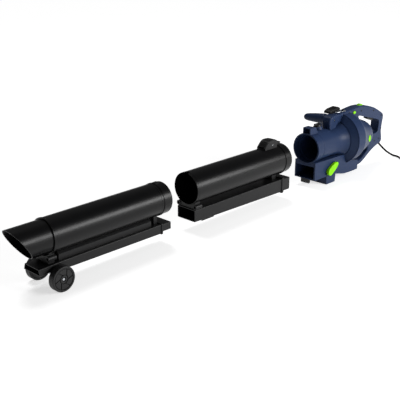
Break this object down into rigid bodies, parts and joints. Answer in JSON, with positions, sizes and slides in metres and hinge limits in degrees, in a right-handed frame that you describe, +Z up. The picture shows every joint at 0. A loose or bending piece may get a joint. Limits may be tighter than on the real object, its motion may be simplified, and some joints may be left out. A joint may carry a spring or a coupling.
{
  "type": "leaf blower vacuum",
  "caption": "Corded leaf blower vacuum laid out in line: wheeled twin-tube nozzle, twin-tube middle section and motor unit with arched handle, side grip and short mains lead.",
  "frame": {"origin": "centre of the sole of the foot under the motor unit, on the floor", "axes": "+X along the pipes from the nozzle to the motor unit, +Z up, -Y the side seen in the picture"},
  "size_m": [1.7657, 0.3843, 0.255],
  "materials": {
    "matte_black": "matte",
    "navy_plastic": "satin",
    "lime_plastic": "gloss",
    "steel": "brushed",
    "motor_iron": "machined"
  },
  "bodies": {
    "nozzle": {"nozzle_tube": "matte_black", "nozzle_tip": "matte_black", "nozzle_blow_tube": "matte_black", "nozzle_front_bracket": "matte_black", "nozzle_rear_bracket": "matte_black", "axle": "steel", "axle_clip_near": "steel", "axle_clip_far": "steel"},
    "wheel_near": {"wheel_near": "matte_black"},
    "wheel_far": {"wheel_far": "matte_black"},
    "mid_section": {"mid_tube": "matte_black", "mid_blow_tube": "matte_black", "mid_front_bracket": "matte_black", "mid_rear_bracket": "matte_black", "mid_front_foot": "matte_black", "mid_rear_foot": "matte_black", "latch_base": "matte_black", "latch_pin": "steel"},
    "latch": {"latch_lever": "matte_black"},
    "motor_unit": {"inlet_tube": "navy_plastic", "fan_cover": "navy_plastic", "housing_near": "navy_plastic", "housing_far": "navy_plastic", "blow_duct": "navy_plastic", "foot_block": "navy_plastic", "mouth_hook": "matte_black", "bag_port": "matte_black", "grip_pin": "steel", "knob_boss": "navy_plastic", "strap_lug": "matte_black", "ring_eye": "matte_black", "trigger_pin": "steel", "switch_block": "matte_black", "brush_cover_near": "lime_plastic", "brush_cover_far": "lime_plastic", "motor_can": "steel", "stator": "motor_iron", "bearing_front": "steel", "bearing_rear": "steel", "cord_guard": "matte_black", "cord": "matte_black", "plug_body": "matte_black", "plug_pin_left": "steel", "plug_pin_right": "steel"},
    "fan_rotor": {"rotor": "motor_iron", "fan_impeller": "matte_black"},
    "selector": {"selector_lever": "lime_plastic", "diverter_flap": "matte_black"},
    "side_grip": {"side_grip": "navy_plastic"},
    "lock_knob": {"lock_knob": "matte_black"},
    "strap_ring": {"strap_ring": "steel"},
    "speed_dial": {"speed_dial": "lime_plastic"},
    "lock_button": {"lock_button": "lime_plastic"},
    "trigger": {"trigger": "matte_black"}
  },
  "joints": [
    {"name": "mid_section_slide", "type": "slide", "parent": "motor_unit", "child": "mid_section", "axis": [1, 0, 0], "range_m": [0, 0.169]},
    {"name": "nozzle_slide", "type": "slide", "parent": "mid_section", "child": "nozzle", "axis": [1, 0, 0], "range_m": [0, 0.1275]},
    {"name": "wheel_near_spin", "type": "hinge", "parent": "nozzle", "child": "wheel_near", "pos_m": [-1.192, -0.051, 0.035], "axis": [0, 1, 0], "continuous": true},
    {"name": "wheel_far_spin", "type": "hinge", "parent": "nozzle", "child": "wheel_far", "pos_m": [-1.192, 0.051, 0.035], "axis": [0, 1, 0], "continuous": true},
    {"name": "latch_press", "type": "hinge", "parent": "mid_section", "child": "latch", "pos_m": [-0.3065, 0, 0.199], "axis": [0, -1, 0], "range_deg": [0, 7], "stiffness_Nm_per_rad": 0.6, "springref_deg": -5.73},
    {"name": "fan_spin", "type": "hinge", "parent": "motor_unit", "child": "fan_rotor", "pos_m": [0.121, 0, 0.14], "axis": [1, 0, 0], "continuous": true},
    {"name": "selector_turn", "type": "hinge", "parent": "motor_unit", "child": "selector", "pos_m": [-0.021, 0, 0.0475], "axis": [0, -1, 0], "range_deg": [0, 88]},
    {"name": "side_grip_tilt", "type": "hinge", "parent": "motor_unit", "child": "side_grip", "pos_m": [0.041, 0.0183, 0.219], "axis": [0, 1, 0], "range_deg": [-40, 40]},
    {"name": "lock_knob_turn", "type": "hinge", "parent": "motor_unit", "child": "lock_knob", "pos_m": [-0.011, 0.01832, 0.1964], "axis": [0, 0.309, 0.9511], "range_deg": [0, 90]},
    {"name": "strap_ring_swing", "type": "hinge", "parent": "motor_unit", "child": "strap_ring", "pos_m": [0.1085, 0, 0.243], "axis": [0, 1, 0], "range_deg": [0, 110]},
    {"name": "speed_dial_turn", "type": "hinge", "parent": "motor_unit", "child": "speed_dial", "pos_m": [0.225, 0, 0.2307], "axis": [0, 1, 0], "range_deg": [0, 270]},
    {"name": "lock_button_press", "type": "slide", "parent": "motor_unit", "child": "lock_button", "axis": [0, 1, 0], "range_m": [0, 0.003], "stiffness_N_per_m": 250, "springref_m": -0.004},
    {"name": "trigger_squeeze", "type": "hinge", "parent": "motor_unit", "child": "trigger", "pos_m": [0.2753, 0, 0.1941], "axis": [0, -1, 0], "range_deg": [0, 7], "stiffness_Nm_per_rad": 0.8, "springref_deg": -8.59}
  ]
}
